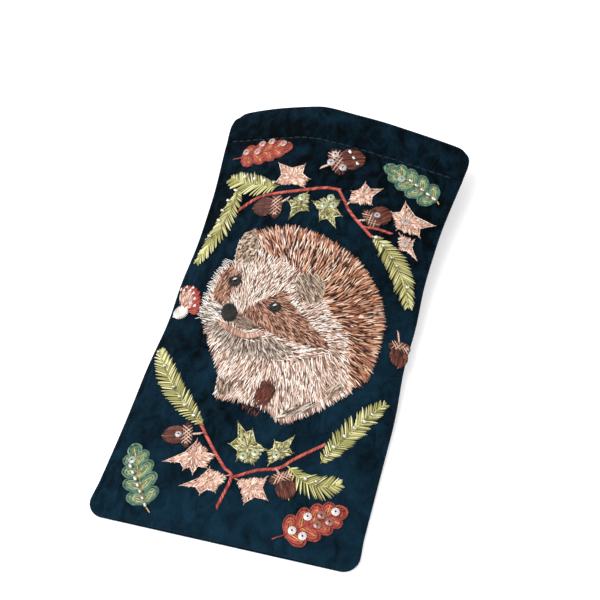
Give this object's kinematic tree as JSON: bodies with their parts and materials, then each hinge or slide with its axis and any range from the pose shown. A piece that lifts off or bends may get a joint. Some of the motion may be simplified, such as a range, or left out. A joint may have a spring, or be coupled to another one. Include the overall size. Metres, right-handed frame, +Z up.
{
  "type": "soft pouch glasses case",
  "caption": "Soft velvet pouch for folded glasses with a padded lined pocket, a squeeze-open sprung mouth and hand-embroidered woodland animal, leaves and beads.",
  "frame": {"origin": "on the surface that the pouch rests on, under the middle of its bounding box", "axes": "+X right, +Y from the bottom seam to the mouth, +Z up through the embroidered front"},
  "size_m": [0.1, 0.18, 0.0269],
  "materials": {
    "velvet": "cut pile",
    "wadding": "soft",
    "lining": "woven satin",
    "spring_steel": "satin",
    "sewing_thread": "spun thread",
    "glass_beads": "silver lined",
    "sequins": "pearl",
    "thread_red": "stranded thread",
    "thread_sage": "stranded thread",
    "thread_olive": "stranded thread",
    "thread_pink": "stranded thread",
    "thread_chestnut": "stranded thread",
    "thread_cream": "stranded thread",
    "thread_rust": "stranded thread",
    "thread_black": "stranded thread",
    "thread_grey": "stranded thread"
  },
  "bodies": {
    "root": {"acorn_lower_left": "thread_chestnut", "acorn_lower_right": "thread_chestnut", "acorn_right": "thread_chestnut", "acorn_top": "thread_chestnut", "acorn_upper_left": "thread_chestnut", "acorn_upper_right": "thread_chestnut", "back_hem_middle": "velvet", "back_spring_middle": "spring_steel", "bugle_beads": "glass_beads", "fern_bottom_left": "thread_olive", "fern_bottom_right": "thread_olive", "fern_left": "thread_olive", "fern_lower_right": "thread_olive", "fern_right": "thread_olive", "fern_top_left": "thread_olive", "hedgehog_belly": "thread_cream", "hedgehog_ears": "thread_grey", "hedgehog_eyes": "thread_black", "hedgehog_face": "thread_cream", "hedgehog_feet": "thread_grey", "hedgehog_mask": "thread_rust", "hedgehog_mouth": "thread_pink", "hedgehog_muzzle": "thread_grey", "hedgehog_nose": "thread_black", "hedgehog_spines": "thread_rust", "hem_stitches_back": "sewing_thread", "hem_stitches_front": "sewing_thread", "lining_back": "lining", "lining_front": "lining", "maple_leaves_green_bottom": "thread_olive", "maple_leaves_green_top": "thread_olive", "maple_leaves_pink_bottom": "thread_pink", "maple_leaves_pink_top": "thread_pink", "oak_leaf_green_bottom": "thread_sage", "oak_leaf_green_top": "thread_sage", "oak_leaf_red_bottom": "thread_red", "oak_leaf_red_top": "thread_red", "seed_beads": "glass_beads", "sequins": "sequins", "toadstool_cap": "thread_red", "toadstool_stem": "thread_cream", "twig_bottom": "thread_red", "twig_top": "thread_red", "velvet_back": "velvet", "velvet_front": "velvet", "wadding_back": "wadding", "wadding_front": "wadding"},
    "back_arm_left": {"back_spring_left": "spring_steel", "back_hem_left": "velvet", "hinge_pin_left": "spring_steel"},
    "back_arm_right": {"back_spring_right": "spring_steel", "back_hem_right": "velvet", "hinge_pin_right": "spring_steel"},
    "front_arm_left": {"front_spring_left": "spring_steel", "front_hem_left": "velvet"},
    "front_arm_right": {"front_spring_right": "spring_steel", "front_hem_right": "velvet"},
    "front_lip": {"front_spring_middle": "spring_steel", "front_hem_middle": "velvet"}
  },
  "joints": [
    {"name": "mouth_open", "type": "hinge", "parent": "root", "child": "back_arm_left", "pos_m": [-0.01, 0.08215, 0.0029], "axis": [0, 1, 0], "range_deg": [-16.96, 9], "stiffness_Nm_per_rad": 0.25},
    {"name": "back_bend_right", "type": "hinge", "parent": "root", "child": "back_arm_right", "pos_m": [-0.01, 0.08215, 0.0029], "axis": [0, -1, 0], "range_deg": [-10.67, 5.69], "stiffness_Nm_per_rad": 0.25},
    {"name": "side_hinge_left", "type": "hinge", "parent": "back_arm_left", "child": "front_arm_left", "pos_m": [-0.04444, 0.08215, 0.0134], "axis": [0, -1, 0], "range_deg": [-33.97, 18.05], "stiffness_Nm_per_rad": 0.25},
    {"name": "side_hinge_right", "type": "hinge", "parent": "back_arm_right", "child": "front_arm_right", "pos_m": [0.04501, 0.08215, 0.0134], "axis": [0, 1, 0], "range_deg": [-21.29, 11.32], "stiffness_Nm_per_rad": 0.25},
    {"name": "front_lip_rise", "type": "slide", "parent": "root", "child": "front_lip", "axis": [0, 0, 1], "range_m": [-0.02046, 0.01088]}
  ],
  "couplings": [
    {"joint": "back_bend_right", "follows": "mouth_open", "ratio": 0.6262},
    {"joint": "side_hinge_left", "follows": "mouth_open", "ratio": 2},
    {"joint": "side_hinge_right", "follows": "mouth_open", "ratio": 1.2524},
    {"joint": "front_lip_rise", "follows": "mouth_open", "m_per_rad": 0.068947}
  ]
}
